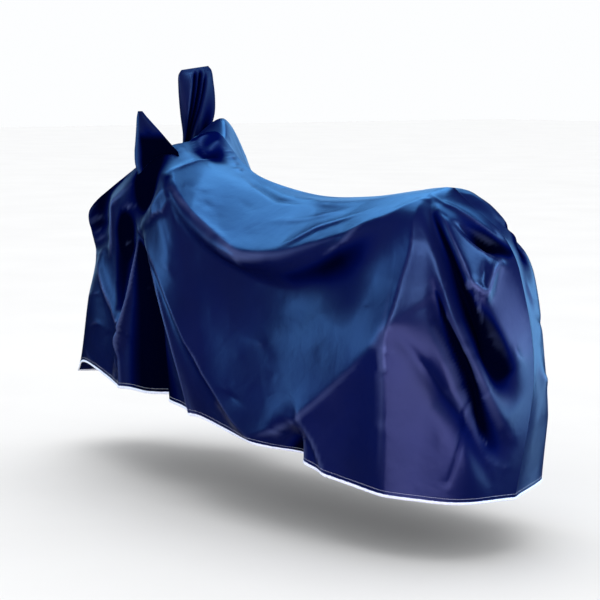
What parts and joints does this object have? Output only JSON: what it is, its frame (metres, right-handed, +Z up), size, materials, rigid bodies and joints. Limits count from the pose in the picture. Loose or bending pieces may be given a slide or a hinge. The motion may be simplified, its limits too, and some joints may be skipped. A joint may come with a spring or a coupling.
{
  "type": "motorcycle cover",
  "caption": "Fitted two-panel cloth cover hanging as over a motorcycle, with mirror pockets standing up at the handlebar ends and an overlocked hem.",
  "frame": {"origin": "just under the cloth where the seat carries the top, on the centre seam", "axes": "+X towards the tail, +Y towards the right side of the vehicle as it is covered, +Z up; the ground is 893 mm below the origin"},
  "size_m": [1.9753, 0.6729, 1.1038],
  "materials": {
    "cloth": "glossy coated taffeta, navy blue",
    "edging": "white overlock thread"
  },
  "bodies": {
    "root": {"panel_left": "cloth", "panel_right": "cloth", "pocket_left": "cloth", "pocket_right": "cloth", "hem_edging": "edging"}
  },
  "joints": []
}
